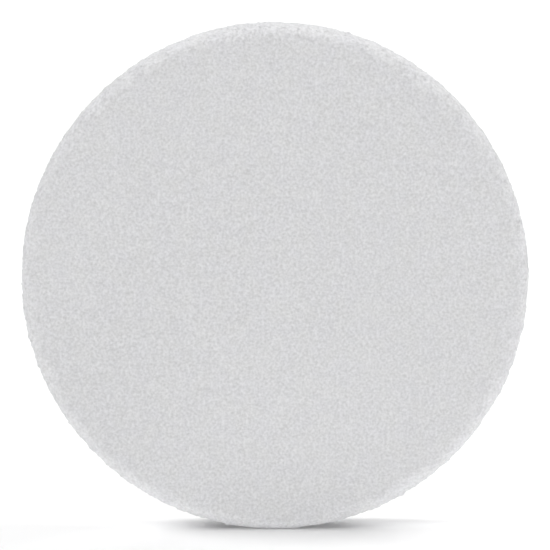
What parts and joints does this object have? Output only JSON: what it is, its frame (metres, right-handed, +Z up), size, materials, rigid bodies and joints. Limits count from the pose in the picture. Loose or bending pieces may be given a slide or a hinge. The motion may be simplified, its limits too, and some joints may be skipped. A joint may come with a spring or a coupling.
{
  "type": "felt polishing wheel",
  "caption": "Thick round felt polishing wheel with a softly rounded shoulder and a hook-and-loop backing, with no arbor hole.",
  "frame": {"origin": "centre of the wheel, on its spin axis, midway between the polishing face and the loop backing", "axes": "+Y along the spin axis, from the polishing face to the loop backing and so towards the machine; +Z up as the wheel stands on its rim"},
  "size_m": [0.15, 0.025, 0.15],
  "materials": {
    "white_felt": "pale grey-white pressed felt with a fine, even nap, fully matte",
    "adhesive_film": "milky hot-melt adhesive film, slightly waxy",
    "loop_fabric": "light grey knitted loop fabric, soft and matte"
  },
  "bodies": {
    "root": {"felt_disc": "white_felt", "bond_film": "adhesive_film", "loop_backing": "loop_fabric"}
  },
  "joints": []
}
